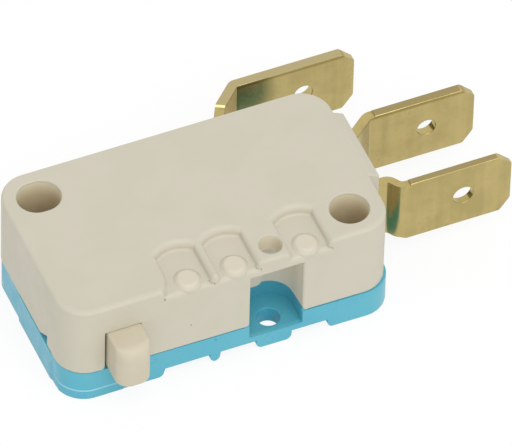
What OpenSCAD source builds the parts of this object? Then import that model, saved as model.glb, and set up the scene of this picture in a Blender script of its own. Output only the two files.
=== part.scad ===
// Snap-action switch: a two-part moulded case, a push plunger, three blade terminals
// and the over-centre contact mechanism inside. Millimetres, +Z up, lying on its cover.
// The origin is on the axis of the round mounting hole, in the plane of the underside.

/* [Case] */
// Length of the case along X
case_l = 28.1; // [27.8:0.1:31]
// Width of the case along Y, front to back
case_w = 15.7; // [15.5:0.1:18]
// Height of the case along Z, cover included
case_h = 10.1; // [9.9:0.1:12]
// Radius of the four upright corners
corner_r = 2.5; // [1.6:0.1:3.4]
// Thickness of the side walls
wall = 1.4; // [1:0.05:1.6]
// Thickness of the body's roof
roof = 1.55; // [1.2:0.05:1.8]
// Height of the split between the cover and the body
split_h = 3; // [2.7:0.1:3.3]
// Thickness of the cover's floor
floor_t = 1.5; // [1.2:0.05:1.7]
// How far the pad on the cover's left end stands out
pad_out = 0.12; // [0.05:0.01:0.3]
// Length of that pad along Y
pad_l = 6.5; // [4:0.1:8]
// How far the ledge round the terminals stands out of the right end
ledge_out = 0.75; // [0.3:0.05:1]
// Length of that ledge along Y
ledge_l = 7.3; // [6.9:0.05:7.5]
// Height of the sloping cut in the body's lower edge at the left end
nick_h = 1.15; // [0.6:0.05:1.5]
// Length of that cut along Y
nick_l = 1.65; // [1:0.05:2]

/* [Mounting holes] */
// Diameter of the round mounting hole, and width of the oblong one
hole_d = 3.2; // [2.9:0.1:3.4]
// Distance of each hole from the nearer end of the case; 22.2 apart along X on the usual case
hole_in_x = 2.95; // [2.8:0.05:3.2]
// Distance between the two holes along Y
hole_pitch_y = 10.3; // [9.9:0.1:10.5]
// How much longer than wide the oblong hole is
slot_play = 0.4; // [0.2:0.1:0.6]
// Thickness of the moulded wall round each hole
boss_wall = 1; // [0.7:0.05:1.1]

/* [Lever fittings] */
// Width of the pocket in the front face that takes a lever's ear
pocket_w = 4.55; // [4.2:0.05:4.8]
// Depth of the pocket from the front face
pocket_depth = 3.9; // [3.6:0.05:4.1]
// Radius of the pocket's two back corners
pocket_r = 1.92; // [1.6:0.02:2.1]
// Distance of the pocket's middle from the middle of the case
pocket_x = 3.83; // [3.6:0.05:4.1]
// Thickness of the moulded wall behind the pocket
pocket_wall = 0.8; // [0.6:0.05:0.9]
// Diameter of the lever's pin hole through roof and floor
pivot_d = 1.84; // [1.6:0.02:2]
// Distance of the pin hole from the front face
pivot_in = 1.52; // [1.4:0.02:1.7]
// Width of each lever seat in the roof
seat_w = 3.2; // [2.8:0.05:3.3]
// Width of each lever seat in the underside
under_seat_w = 3; // [2.8:0.05:3.3]
// Length of each lever seat from the front face
seat_l = 4.4; // [4:0.05:4.6]
// Depth of the lever seats in the roof and in the floor
seat_depth = 0.82; // [0.4:0.02:0.9]
// Distance from the pin hole to the far seat on the left
seat_far = 7.2; // [7:0.05:7.4]
// Distance from the pin hole to the near seat on the left
seat_near = 3.25; // [3.15:0.05:3.4]
// Distance from the pin hole to the seat on the right
seat_right = 2.85; // [2.8:0.05:3.2]
// Diameter of the low round post in each seat of the roof
post_d = 1.7; // [1.2:0.05:1.9]
// Height of that post
post_h = 0.42; // [0.2:0.02:0.5]
// Distance of the posts from the front face
post_in = 1.15; // [1:0.05:1.5]

/* [Plunger] */
// Width of the plunger along X
plunger_w = 2.9; // [2.6:0.02:3.1]
// Height of the plunger along Z
plunger_h = 3.95; // [3.6:0.05:4]
// Radius of the two upright edges at the plunger's front
plunger_r = 1.15; // [0.6:0.05:1.3]
// Distance of the plunger's middle from the left end of the case
plunger_in = 4.88; // [4.6:0.01:5]
// How far the plunger stands out of the front face at rest
plunger_out = 2.75; // [2:0.05:3]
// Clearance round the plunger in its slot
plunger_gap = 0.07; // [0.05:0.01:0.1]
// Thickness of the flange that keeps the plunger in
flange_t = 0.8; // [0.6:0.05:1]
// How far the flange reaches past the plunger on each side
flange_lip = 0.65; // [0.4:0.05:0.75]

/* [Terminals] */
// Width of the blade terminals along Z
tab_w = 6.3; // [6:0.1:6.4]
// Thickness of the common and the normally open blade
tab_t = 0.8; // [0.6:0.05:0.9]
// Thickness of the normally closed blade
nc_t = 0.65; // [0.5:0.05:0.8]
// Diameter of the hole in each blade
tab_hole_d = 1.75; // [1.5:0.05:2]
// Distance of that hole from the blade's tip
tab_hole_in = 4.2; // [3.5:0.1:4.6]
// Size of the cut corners at the tip
tab_chamfer = 1.1; // [0.8:0.05:1.4]
// Length of the thinned edge at the tip
bevel_l = 0.9; // [0.5:0.05:1.2]
// How much that edge is thinned on each face
bevel_d = 0.18; // [0.1:0.02:0.22]
// How much narrower on each edge the two end blades are behind their shoulders
shoulder = 0.12; // [0.05:0.01:0.25]
// Inside radius of the bends in the blades
bend_r = 0.5; // [0.3:0.05:0.7]
// Clearance round the blades where they pass through a wall
tab_gap = 0.05; // [0.03:0.01:0.1]
// Place of the normally closed blade in the end wall along Y
nc_y = -1.93; // [-2:0.01:-1.8]
// Sideways step of the normally closed blade outside the case
nc_step = 0.9; // [0.5:0.05:1.1]
// How far the normally closed blade reaches past the case
nc_reach = 12.15; // [11:0.05:13]
// Place of the normally open blade in the end wall along Y
no_y = 3.6; // [3.5:0.02:3.7]
// Sideways step of the normally open blade outside the case
no_step = 1.44; // [0.8:0.05:1.8]
// How far the normally open blade reaches past the case
no_reach = 12.35; // [11:0.05:13]
// Place of the common blade in the back wall along X
com_x = 6; // [5.6:0.05:6.2]
// Distance of the common blade behind the case
com_back = 4.35; // [4:0.05:5]
// Length of the common blade from its place in the wall to its tip
com_reach = 13; // [12:0.05:14]

/* [Mechanism] */
// Thickness of the moving arm
arm_t = 0.4; // [0.3:0.05:0.5]
// Height of the moving arm along Z
arm_w = 4.4; // [4:0.1:4.6]
// Diameter of the contact heads
contact_d = 3; // [2.6:0.1:3.2]
// Height of the contact heads
contact_h = 0.82; // [0.6:0.02:0.84]
// Distance of the contacts from the right end of the case
contact_in = 4.85; // [4.7:0.05:5]
// Distance from the contacts to the groove on which the arm swings
arm_l = 12.1; // [12:0.05:12.4]
// Diameter of the lever's pin
pin_d = 1; // [0.9:0.05:1.1]
// Thickness of the actuating lever
lever_t = 0.9; // [0.8:0.05:1]
// Distance from the lever's pin to its spring post along X
lever_l = 5.55; // [5.3:0.05:5.6]
// Distance of the lever's pin in front of the arm
lever_drop = 1.85; // [1.8:0.05:2]
// Distance of the spring post in front of the arm at rest
spring_drop = 1; // [0.9:0.05:1.05]
// Outer diameter of the snap spring
spring_d = 2; // [1.8:0.05:2.1]
// Wire diameter of the snap spring
wire_d = 0.25; // [0.2:0.01:0.28]
// Number of turns of the snap spring
spring_turns = 13; // [8:1:16]
// Running clearance between moving pieces
run_gap = 0.1; // [0.08:0.01:0.12]
// Clearance of a pin or shank in its own hole
fit_gap = 0.03; // [0.02:0.01:0.04]

/* [Hidden] */
$fn = 64;

cream = "#d3ccba";
blue = "#6bb7d0";
ivory = "#d8cfb6";
brass = "#b6a669";
silver = "#c8c8c4";
copper = "#c08a55";
steel = "#a9adb0";

// Length by which a cutting shape runs past the face that it cuts
over = 1;

// Faces of the case, measured from its middle
right_x = case_l / 2;
left_x = -case_l / 2;
front_y = -case_w / 2;
back_y = case_w / 2;
roof_z = case_h - roof;
mid_z = (floor_t + roof_z) / 2;
least_r = 0.4;

// Mounting holes
hole_x = case_l / 2 - hole_in_x;
hole_y = hole_pitch_y / 2;
boss_r = hole_d / 2 + boss_wall;

// Lever fittings
pocket_y = front_y + pocket_depth - pocket_r;
pocket_flat = pocket_w / 2 - pocket_r;
pivot_y = front_y + pivot_in;
seat_x = [pocket_x - seat_far, pocket_x - seat_near, pocket_x + seat_right];
seat_z = case_h - seat_depth;
seat_arc = 0.75;
seat_flare = 0.8;
lug_past = 0.23;
lug_t = 0.35;

// Ledge at the right end, pad and sloping cut at the left end
ledge_wall = 0.2;
ledge_front_y = nc_y - nc_t / 2 - tab_gap - ledge_wall;
ledge_slope = 0.6;
ledge_drop = 0.05;
pad_in = 3.25;
nick_in = 4;
nick_y = front_y + nick_in;
nick_depth = wall / 2;
tongue_back = 0.3;
tongue_h = nick_h * (1 - run_gap / nick_l) - run_gap * norm([nick_l, nick_h]) / nick_l;
tongue_l = tongue_h * nick_l / nick_h;

// Plunger
plunger_x = left_x + plunger_in;
plunger_rise = 0.2;
plunger_z = mid_z + plunger_rise;
flange_y = front_y + wall + fit_gap;
flange_low_z = split_h + run_gap;
flange_high_z = plunger_z + plunger_h / 2 + flange_lip;
stem_in = 4.77;
stem_x = left_x + stem_in;
stem_w = 1.6;
stem_h = 2.6;
nose_r = stem_w / 2;

// Fixed contacts and the resting place of the arm
contact_x = right_x - contact_in;
shank_d = 1.5;
tail_d = 2.1;
tail_h = 0.25;
contact_touch = 0.02;
nc_face_y = nc_y + nc_t / 2 + contact_h;
arm_y = nc_face_y + contact_touch + contact_h + arm_t / 2;
arm_x = contact_x - arm_l;
knuckle_r = 0.45;
rail_w = 0.85;
window_h = arm_w - 2 * rail_w;
hook_bar = 0.8;
hook_in = 7.3;
hook_x = arm_x + hook_in;
hook_hole = 1.1;

// Common blade inside the case: along the back wall, then forward to the arm's groove
com_run_y = back_y - wall - bend_r - tab_t / 2 - tab_gap;
groove_in = 0.3;
groove_lip = 0.3;
fork_root = 0.6;
upright_x = arm_x - groove_in - tab_t / 2;
upright_end_y = arm_y - knuckle_r - groove_lip;
fork_y = com_run_y - tab_t / 2 - fork_root;

// Outer run of the common blade: straight out, a slight lean, a slope, then along X
com_out = 1.35;
com_lean = [0.72, 1.2];
com_slope_x = 2.5;

// Blades at the terminal end: inner ends, and where their sideways steps begin and end
neck_w = tab_w - 2 * shoulder;
blade_lap = 0.2;
blade_end_x = contact_x - contact_d / 2 - blade_lap;
nc_step_from = 1.7;
nc_step_to = 2.5;
no_step_from = 1.53;
no_step_to = 2.97;
shoulder_lead = 0.25;

// Actuating lever
eye_wall = 0.45;
eye_gap = 0.15;
eye_r = pin_d / 2 + eye_wall;
lever_x = left_x + wall + eye_r + eye_gap;
lever_y = arm_y - lever_drop;
lever_h = 3;
post_x = lever_x + lever_l;
post_y = arm_y - spring_drop;
lever_angle = atan2(post_y - lever_y, lever_l);
lever_len = norm([post_x - lever_x, post_y - lever_y]);
spring_post_r = 0.3;
lever_slot_h = 1.3;
lever_face_y = lever_y + (stem_x - lever_x) * tan(lever_angle) - lever_t / 2 / cos(lever_angle);
nose_y = lever_face_y - nose_r / cos(lever_angle) - run_gap;
pin_seat = 0.7;

// Snap spring
coil_r = (spring_d - wire_d) / 2;
post_loop_gap = 0.25;
hook_loop_gap = 0.35;
post_loop_r = spring_post_r + post_loop_gap;
hook_loop_r = hook_bar / 2 + hook_loop_gap;
loop_sweep = 310;
post_loop_start = -20;
hook_loop_start = 150;
loop_steps = 14;
turn_steps = 12;
wire_sides = 8;

// The case has its middle at the origin of these modules. The finished part is moved
// so that the round mounting hole is at the origin.
module placed() {
    translate([-hole_x, hole_y, 0]) children();
}

// Plane shapes of the case
module rounded_plan(l, w, r) {
    square([l - 2 * r, w], center = true);
    square([l, w - 2 * r], center = true);
    for (sx = [-1, 1], sy = [-1, 1]) {
        translate([sx * (l / 2 - r), sy * (w / 2 - r)]) circle(r);
    }
}

module case_slab(inset, low, high) {
    translate([0, 0, low])
        linear_extrude(high - low)
            rounded_plan(case_l - 2 * inset, case_w - 2 * inset, max(corner_r - inset, least_r));
}

module pocket_plan(grow) {
    for (side = [-1, 1]) {
        translate([pocket_x + side * pocket_flat, pocket_y]) circle(pocket_r + grow);
    }
    translate([pocket_x - pocket_flat, pocket_y]) square([2 * pocket_flat, pocket_r + grow]);
    translate([pocket_x - pocket_w / 2 - grow, front_y - over])
        square([pocket_w + 2 * grow, pocket_y - front_y + over]);
}

module pocket_block(grow, low, high) {
    translate([0, 0, low]) linear_extrude(high - low) pocket_plan(grow);
}

// Seat for a lever's tongue: open to the front, with an arched back
module seat_plan(x, w) {
    arc_r = seat_arc * w;
    arc_y = front_y + seat_l - arc_r;
    translate([x - w / 2, front_y - over]) square([w, arc_y - front_y + over]);
    intersection() {
        translate([x - w / 2, arc_y - over]) square([w, arc_r + 2 * over]);
        translate([x, arc_y]) circle(arc_r);
    }
}

// The far seat opens out a little towards the front on its left
module seat_flare_plan(w) {
    edge_x = seat_x[0] - w / 2;
    polygon([
        [edge_x + over, front_y + seat_l / 2],
        [edge_x, front_y + seat_l / 2],
        [edge_x - seat_flare, front_y],
        [edge_x - seat_flare, front_y - over],
        [edge_x + over, front_y - over]
    ]);
}

// All seats of width w, cut from low to high
module seat_cuts(low, high, w) {
    translate([0, 0, low]) linear_extrude(high - low) {
        for (x = seat_x) seat_plan(x, w);
        seat_flare_plan(w);
    }
}

// Low round posts that stand in the seats of the roof
module seat_posts() {
    for (x = seat_x) {
        translate([x, front_y + post_in, seat_z - over]) cylinder(d = post_d, h = over + post_h);
    }
}

// Mounting holes: a round one at the front right, an oblong one at the back left
module hole_bosses(low, high) {
    for (side = [-1, 1]) {
        translate([side * hole_x, -side * hole_y, low]) cylinder(r = boss_r, h = high - low);
    }
}

module hole_cuts() {
    translate([hole_x, -hole_y, -over]) cylinder(d = hole_d, h = case_h + 2 * over);
    for (side = [-1, 1]) {
        translate([-hole_x + side * slot_play / 2, hole_y, -over])
            cylinder(d = hole_d, h = case_h + 2 * over);
    }
    translate([-hole_x - slot_play / 2, hole_y - hole_d / 2, -over])
        cube([slot_play, hole_d, case_h + 2 * over]);
}

module pivot_cut() {
    translate([pocket_x, pivot_y, -over]) cylinder(d = pivot_d, h = case_h + 2 * over);
}

// Slot for the plunger, open to the cover below
module plunger_slot() {
    slot_w = plunger_w + 2 * plunger_gap;
    slot_high_z = plunger_z + plunger_h / 2 + plunger_gap;
    translate([plunger_x - slot_w / 2, front_y - over, split_h - over])
        cube([slot_w, wall + 2 * over, slot_high_z - split_h + over]);
}

// Slots for the blades through the end wall and the back wall
module blade_slots() {
    end_h = neck_w + 2 * tab_gap;
    back_h = tab_w + 2 * tab_gap;
    for (blade = [[nc_y, nc_t], [no_y, tab_t]]) {
        translate([right_x - wall - over, blade[0] - blade[1] / 2 - tab_gap, mid_z - end_h / 2])
            cube([wall + ledge_out + 2 * over, blade[1] + 2 * tab_gap, end_h]);
    }
    translate([com_x - tab_t / 2 - tab_gap, back_y - wall - over, mid_z - back_h / 2])
        cube([tab_t + 2 * tab_gap, wall + 2 * over, back_h]);
}

// Blind holes for the lever's pin in roof and floor
module pin_holes() {
    translate([lever_x, lever_y, floor_t - pin_seat])
        cylinder(d = pin_d + 2 * fit_gap, h = roof_z - floor_t + 2 * pin_seat);
}

// Ledge round the blades at the right end, with a sloping top
module end_ledge() {
    translate([0, ledge_front_y + ledge_l, 0]) rotate([90, 0, 0]) linear_extrude(ledge_l)
        polygon([
            [right_x - wall / 2, split_h],
            [right_x + ledge_out, split_h],
            [right_x + ledge_out, case_h - ledge_slope],
            [right_x, case_h - ledge_drop],
            [right_x - wall / 2, case_h - ledge_drop]
        ]);
}

// Sloping cut in the lower edge of the body's left end
module end_nick() {
    translate([left_x - over, 0, split_h]) rotate([90, 0, 90]) linear_extrude(nick_depth + over)
        polygon([
            [nick_y, -over],
            [nick_y, nick_h],
            [nick_y + nick_l, 0],
            [nick_y + nick_l, -over]
        ]);
}

// Tongue of the cover that stands in that cut, set back from the end face
module nick_tongue() {
    tongue_y = nick_y + run_gap;
    translate([left_x + tongue_back, 0, split_h]) rotate([90, 0, 90])
        linear_extrude(nick_depth - tongue_back - fit_gap)
            polygon([
                [tongue_y, -floor_t],
                [tongue_y, tongue_h],
                [tongue_y + tongue_l, 0],
                [tongue_y + tongue_l, -floor_t]
            ]);
}

// Small rib at the back left of the lever pocket
module pocket_lug() {
    translate([pocket_x - pocket_w / 2, front_y + pocket_depth - lug_t, split_h + run_gap])
        cube([pocket_w / 2 + lug_past, lug_t + pocket_wall / 2, roof_z - split_h]);
}

module case_body() {
    color(cream) {
        difference() {
            union() {
                difference() {
                    case_slab(0, split_h, case_h);
                    case_slab(wall, split_h - over, roof_z);
                }
                intersection() {
                    case_slab(wall / 2, split_h, case_h - roof / 2);
                    union() {
                        hole_bosses(split_h, case_h);
                        pocket_block(pocket_wall, split_h, case_h);
                    }
                }
                end_ledge();
            }
            difference() {
                pocket_block(0, split_h - over, roof_z);
                pocket_lug();
            }
            hole_cuts();
            pivot_cut();
            difference() {
                seat_cuts(seat_z, case_h + over, seat_w);
                seat_posts();
            }
            plunger_slot();
            blade_slots();
            pin_holes();
            end_nick();
        }
    }
}

module case_cover() {
    color(blue) {
        difference() {
            union() {
                difference() {
                    case_slab(0, 0, split_h);
                    case_slab(wall, floor_t, split_h + over);
                }
                intersection() {
                    case_slab(wall / 2, floor_t / 2, split_h);
                    union() {
                        hole_bosses(0, split_h);
                        pocket_block(pocket_wall, 0, split_h);
                    }
                }
                translate([left_x - pad_out, front_y + pad_in, 0])
                    cube([pad_out + wall / 2, pad_l, split_h]);
                nick_tongue();
            }
            pocket_block(0, floor_t, split_h + over);
            hole_cuts();
            pivot_cut();
            seat_cuts(-over, seat_depth, under_seat_w);
            blade_slots();
            pin_holes();
        }
    }
}

// Bar of the plunger, with its nose rounded in plan
module plunger_bar() {
    nose_flat = plunger_w - 2 * plunger_r;
    tip_y = front_y - plunger_out;
    round_y = tip_y + plunger_r;
    translate([plunger_x, 0, plunger_z - plunger_h / 2]) linear_extrude(plunger_h) {
        for (side = [-1, 1]) {
            translate([side * nose_flat / 2, round_y]) circle(plunger_r);
        }
        translate([-nose_flat / 2, tip_y]) square([nose_flat, plunger_r]);
        translate([-plunger_w / 2, round_y]) square([plunger_w, flange_y + flange_t - round_y]);
    }
}

// Push button: a bar with a rounded nose, a flange that keeps it in, and a stem
module plunger() {
    color(ivory) {
        plunger_bar();
        translate([plunger_x - plunger_w / 2 - flange_lip, flange_y, flange_low_z])
            cube([plunger_w + 2 * flange_lip, flange_t, flange_high_z - flange_low_z]);
        translate([stem_x - stem_w / 2, flange_y, mid_z - stem_h / 2])
            cube([stem_w, nose_y - flange_y, stem_h]);
        translate([stem_x, nose_y, mid_z - stem_h / 2]) cylinder(r = nose_r, h = stem_h);
    }
}

// Strip metal: a path in X and Y, its bends rounded, thickened and raised along Z
bend_step = 9;

function unit(v) = v / norm(v);
function left_of(v) = [-v[1], v[0]];
function reversed(list) = [for (i = [len(list) - 1 : -1 : 0]) list[i]];

function bend(a, b, c, r) =
    let (
        u = unit(b - a),
        v = unit(c - b),
        turn = atan2(u[0] * v[1] - u[1] * v[0], u * v),
        side = sign(turn),
        start = b - u * r * tan(abs(turn) / 2),
        centre = start + left_of(u) * side * r,
        steps = max(2, ceil(abs(turn) / bend_step))
    )
    [for (i = [0 : steps]) let (t = turn * i / steps, n = -left_of(u) * side * r)
        centre + [n[0] * cos(t) - n[1] * sin(t), n[0] * sin(t) + n[1] * cos(t)]];

function rounded_path(path, r) = concat(
    [path[0]],
    [for (i = [1 : len(path) - 2]) each bend(path[i - 1], path[i], path[i + 1], r)],
    [path[len(path) - 1]]
);

function beside(path, d) =
    let (last = len(path) - 1)
    [for (i = [0 : last])
        let (
            n1 = left_of(unit(path[max(i, 1)] - path[max(i, 1) - 1])),
            n2 = left_of(unit(path[min(i + 1, last)] - path[min(i + 1, last) - 1]))
        )
        path[i] + d * (n1 + n2) / (1 + n1 * n2)];

module strip(path, t, h) {
    smooth = rounded_path(path, bend_r + t / 2);
    translate([0, 0, mid_z - h / 2])
        linear_extrude(h) polygon(concat(beside(smooth, t / 2), reversed(beside(smooth, -t / 2))));
}

// What is cut from a blade at its tip: two corners, two bevels and the hole
module tip_cuts(tip_x, y, t) {
    translate([0, y + t, 0]) rotate([90, 0, 0]) linear_extrude(2 * t) {
        for (side = [-1, 1]) {
            edge_z = mid_z + side * tab_w / 2;
            polygon([
                [tip_x - tab_chamfer, edge_z],
                [tip_x, edge_z - side * tab_chamfer],
                [tip_x + over, edge_z - side * tab_chamfer],
                [tip_x + over, edge_z + side * over],
                [tip_x - tab_chamfer, edge_z + side * over]
            ]);
        }
    }
    translate([0, 0, mid_z - tab_w]) linear_extrude(2 * tab_w) {
        for (side = [-1, 1]) {
            face_y = y + side * t / 2;
            polygon([
                [tip_x - bevel_l, face_y],
                [tip_x, face_y - side * bevel_d],
                [tip_x + over, face_y - side * bevel_d],
                [tip_x + over, face_y + side * over],
                [tip_x - bevel_l, face_y + side * over]
            ]);
        }
    }
    translate([tip_x - tab_hole_in, y + t, mid_z]) rotate([90, 0, 0]) cylinder(d = tab_hole_d, h = 2 * t);
}

module shank_hole(y, t) {
    translate([contact_x, y + t, mid_z]) rotate([90, 0, 0]) cylinder(d = shank_d + 2 * fit_gap, h = 2 * t);
}

// A blade at the terminal end: straight through the wall, stepped sideways, and then,
// from its shoulders on, wider and straight to its tip
module end_blade(y, t, step, step_from, step_to, reach) {
    slope = atan2(abs(step), step_to - step_from);
    shoulder_x = right_x + step_to + (bend_r + t / 2) * tan(slope / 2) + shoulder_lead;
    tip_x = right_x + reach;
    difference() {
        strip([
            [blade_end_x, y],
            [right_x + step_from, y],
            [right_x + step_to, y + step],
            [tip_x, y + step]
        ], t, tab_w);
        for (low = [mid_z + neck_w / 2, mid_z - neck_w / 2 - over]) {
            translate([blade_end_x - over, min(y, y + step) - t, low])
                cube([shoulder_x - blade_end_x + over, abs(step) + 2 * t, over]);
        }
        tip_cuts(tip_x, y + step, t);
        shank_hole(y, t);
    }
}

module normally_closed_terminal() {
    color(brass) end_blade(nc_y, nc_t, -nc_step, nc_step_from, nc_step_to, nc_reach);
}

module normally_open_terminal() {
    color(brass) end_blade(no_y, tab_t, no_step, no_step_from, no_step_to, no_reach);
}

module common_terminal() {
    tip_y = back_y + com_back;
    color(brass) difference() {
        strip([
            [upright_x, upright_end_y],
            [upright_x, com_run_y],
            [com_x, com_run_y],
            [com_x, back_y + com_out],
            [com_x, back_y + com_out] + com_lean,
            [com_x + com_slope_x, tip_y],
            [com_x + com_reach, tip_y]
        ], tab_t, tab_w);
        tip_cuts(com_x + com_reach, tip_y, tab_t);
        translate([upright_x - tab_t, upright_end_y - over, mid_z - window_h / 2])
            cube([2 * tab_t, fork_y - upright_end_y + over, window_h]);
        translate([arm_x, arm_y, mid_z - tab_w]) cylinder(r = knuckle_r + fit_gap, h = 2 * tab_w);
    }
}

// A contact rivet along Y: its head on the face at y_head, and its flattened tail
// behind a blade of thickness t
module rivet(y_head, head_dir, t) {
    translate([contact_x, y_head, mid_z]) rotate([-90 * head_dir, 0, 0]) {
        cylinder(d = contact_d, h = contact_h);
        translate([0, 0, -t - tail_h]) {
            cylinder(d = shank_d, h = t + tail_h + contact_h / 2);
            cylinder(d = tail_d, h = tail_h);
        }
    }
}

module normally_closed_contact() {
    color(silver) rivet(nc_y + nc_t / 2, 1, nc_t);
}

module normally_open_contact() {
    color(silver) rivet(no_y - tab_t / 2, -1, tab_t);
}

// Moving arm: two rails that swing in the groove, a bar for the spring and an eye for the contact
module moving_arm() {
    color(copper) difference() {
        union() {
            translate([arm_x, arm_y - arm_t / 2, mid_z - arm_w / 2])
                cube([contact_x - arm_x, arm_t, arm_w]);
            translate([contact_x, arm_y + arm_t / 2, mid_z])
                rotate([90, 0, 0]) cylinder(d = arm_w, h = arm_t);
            translate([arm_x, arm_y, mid_z - arm_w / 2]) cylinder(r = knuckle_r, h = arm_w);
        }
        translate([arm_x - over, arm_y - over, mid_z - window_h / 2])
            cube([hook_x - arm_x + over, 2 * over, window_h]);
        translate([hook_x + hook_bar, arm_y - over, mid_z - hook_hole / 2])
            cube([hook_hole, 2 * over, hook_hole]);
        shank_hole(arm_y, arm_t);
    }
}

module moving_contact() {
    color(silver) translate([contact_x, arm_y, mid_z]) rotate([90, 0, 0]) {
        for (side = [-1, 1]) {
            translate([0, 0, side * (arm_t + contact_h) / 2])
                cylinder(d = contact_d, h = contact_h, center = true);
        }
        cylinder(d = shank_d, h = arm_t + contact_h, center = true);
    }
}

// Actuating lever: an eye on the pin, a bar, and a forked end with a post for the spring
module actuating_lever() {
    color(ivory) translate([lever_x, lever_y, mid_z]) rotate([0, 0, lever_angle]) difference() {
        translate([0, 0, -lever_h / 2]) {
            difference() {
                union() {
                    cylinder(r = eye_r, h = lever_h);
                    translate([0, -lever_t / 2, 0]) cube([lever_len, lever_t, lever_h]);
                    translate([lever_len, 0, 0]) cylinder(d = lever_t, h = lever_h);
                }
                translate([0, 0, -over]) cylinder(d = pin_d + run_gap, h = lever_h + 2 * over);
            }
        }
        difference() {
            translate([lever_len, 0, -lever_slot_h / 2])
                cylinder(r = post_loop_r + 2 * wire_d, h = lever_slot_h);
            translate([lever_len, 0, -lever_slot_h])
                cylinder(r = spring_post_r, h = 2 * lever_slot_h);
        }
    }
}

module lever_pin() {
    pin_l = roof_z - floor_t + 2 * pin_seat - 2 * fit_gap;
    color(steel) translate([lever_x, lever_y, mid_z]) cylinder(d = pin_d, h = pin_l, center = true);
}

// Snap spring: a loop round the lever's post, a close coil and a loop through the arm
spring_from = [post_x, post_y, mid_z];
spring_to = [hook_x + hook_bar / 2, arm_y, mid_z];
spring_dir = unit(spring_to - spring_from);
spring_side = [-spring_dir[1], spring_dir[0], 0];
coil_start = spring_from + spring_dir * (post_loop_r + 2 * wire_d);
coil_end = spring_to - spring_dir * (hook_loop_r + 2 * wire_d);

// A loop of radius r round a centre, in the plane of the arm's swing, from an angle on
function loop_point(centre, r, a) = centre + r * (cos(a) * spring_dir + sin(a) * spring_side);
function loop(centre, r, from) =
    [for (i = [0 : loop_steps]) loop_point(centre, r, from - loop_sweep * i / loop_steps)];

function coil_point(t) =
    let (a = 360 * spring_turns * t)
    coil_start + (coil_end - coil_start) * t + coil_r * (cos(a) * spring_side + sin(a) * [0, 0, 1]);

spring_path = concat(
    loop(spring_from, post_loop_r, post_loop_start),
    [for (i = [0 : spring_turns * turn_steps]) coil_point(i / (spring_turns * turn_steps))],
    loop(spring_to, hook_loop_r, hook_loop_start)
);

function tangent(path, i) = unit(path[min(i + 1, len(path) - 1)] - path[max(i - 1, 0)]);
function square_to(v, t) = unit(v - (v * t) * t);

// Round wire along a path: each ring's first spoke is carried on from the ring before
module wire(path, r) {
    count = len(path);
    spokes = [for (i = 0, n = square_to([0, 0, 1], tangent(path, 0)); i < count;
        i = i + 1, n = i < count ? square_to(n, tangent(path, i)) : n) n];
    points = [for (i = [0 : count - 1], k = [0 : wire_sides - 1])
        let (t = tangent(path, i), a = 360 * k / wire_sides)
        path[i] + r * (cos(a) * spokes[i] + sin(a) * cross(t, spokes[i]))];
    sides = [for (i = [0 : count - 2], k = [0 : wire_sides - 1])
        let (a = i * wire_sides + k, b = i * wire_sides + (k + 1) % wire_sides)
        [a, a + wire_sides, b + wire_sides, b]];
    first = [for (k = [0 : wire_sides - 1]) k];
    last = [for (k = [wire_sides - 1 : -1 : 0]) (count - 1) * wire_sides + k];
    polyhedron(points, concat([first], sides, [last]));
}

module snap_spring() {
    color(steel) wire(spring_path, wire_d / 2);
}

placed() case_body();
placed() case_cover();
placed() plunger();
placed() common_terminal();
placed() normally_open_terminal();
placed() normally_closed_terminal();
placed() normally_open_contact();
placed() normally_closed_contact();
placed() moving_arm();
placed() moving_contact();
placed() snap_spring();
placed() actuating_lever();
placed() lever_pin();
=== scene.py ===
import math

import bmesh
import bpy
from mathutils import Matrix, Vector


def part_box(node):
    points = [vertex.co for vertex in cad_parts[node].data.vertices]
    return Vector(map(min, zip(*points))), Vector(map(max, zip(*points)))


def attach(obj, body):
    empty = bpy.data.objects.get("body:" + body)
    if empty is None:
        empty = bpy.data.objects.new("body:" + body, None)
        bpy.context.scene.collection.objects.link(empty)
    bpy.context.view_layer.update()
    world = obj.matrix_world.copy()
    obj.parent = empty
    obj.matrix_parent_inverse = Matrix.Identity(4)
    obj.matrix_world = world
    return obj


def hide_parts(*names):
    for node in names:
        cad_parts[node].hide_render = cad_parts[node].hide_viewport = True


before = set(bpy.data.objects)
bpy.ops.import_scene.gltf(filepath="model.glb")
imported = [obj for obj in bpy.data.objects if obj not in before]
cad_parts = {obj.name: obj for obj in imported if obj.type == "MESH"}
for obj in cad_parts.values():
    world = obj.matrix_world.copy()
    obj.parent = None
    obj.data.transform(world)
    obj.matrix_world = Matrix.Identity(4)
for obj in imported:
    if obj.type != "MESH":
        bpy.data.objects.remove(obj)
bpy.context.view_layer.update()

# Lengths are in millimetres, measured from the middle of the case in the plane of its
# underside: X towards the terminals, Y towards the back, Z up. A finished piece is
# brought into the frame, in metres, by finish_piece.
MM = 0.001

# A ledge stands out of the body's right end, and a pad out of the cover's left end, so each end of
# the case is taken from the other piece
body_low, body_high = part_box("case_body")
cover_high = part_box("case_cover")[1]
CASE_MIDDLE = Vector(((body_low.x + cover_high.x) / 2, (body_low.y + body_high.y) / 2, 0))


def box_in_mm(node):
    """Lowest and highest corner of a node, in millimetres from the middle of the case."""
    low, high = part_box(node)
    return (low - CASE_MIDDLE) / MM, (high - CASE_MIDDLE) / MM


# Case
CASE_L = (cover_high.x - body_low.x) / MM
CASE_W = (body_high.y - body_low.y) / MM
CASE_H = body_high.z / MM
SPLIT_Z = body_low.z / MM
LEFT, RIGHT = -CASE_L / 2, CASE_L / 2
FRONT, BACK = -CASE_W / 2, CASE_W / 2
CORNER_R = 2.5
WALL = 1.4
FLOOR_Z = 1.5
ROOF_T = 1.55
ROOF_Z = CASE_H - ROOF_T
MID_Z = (FLOOR_Z + ROOF_Z) / 2
TOP_EDGE_R = 0.32
TOP_EDGE_SHIFT = 0.6

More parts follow.
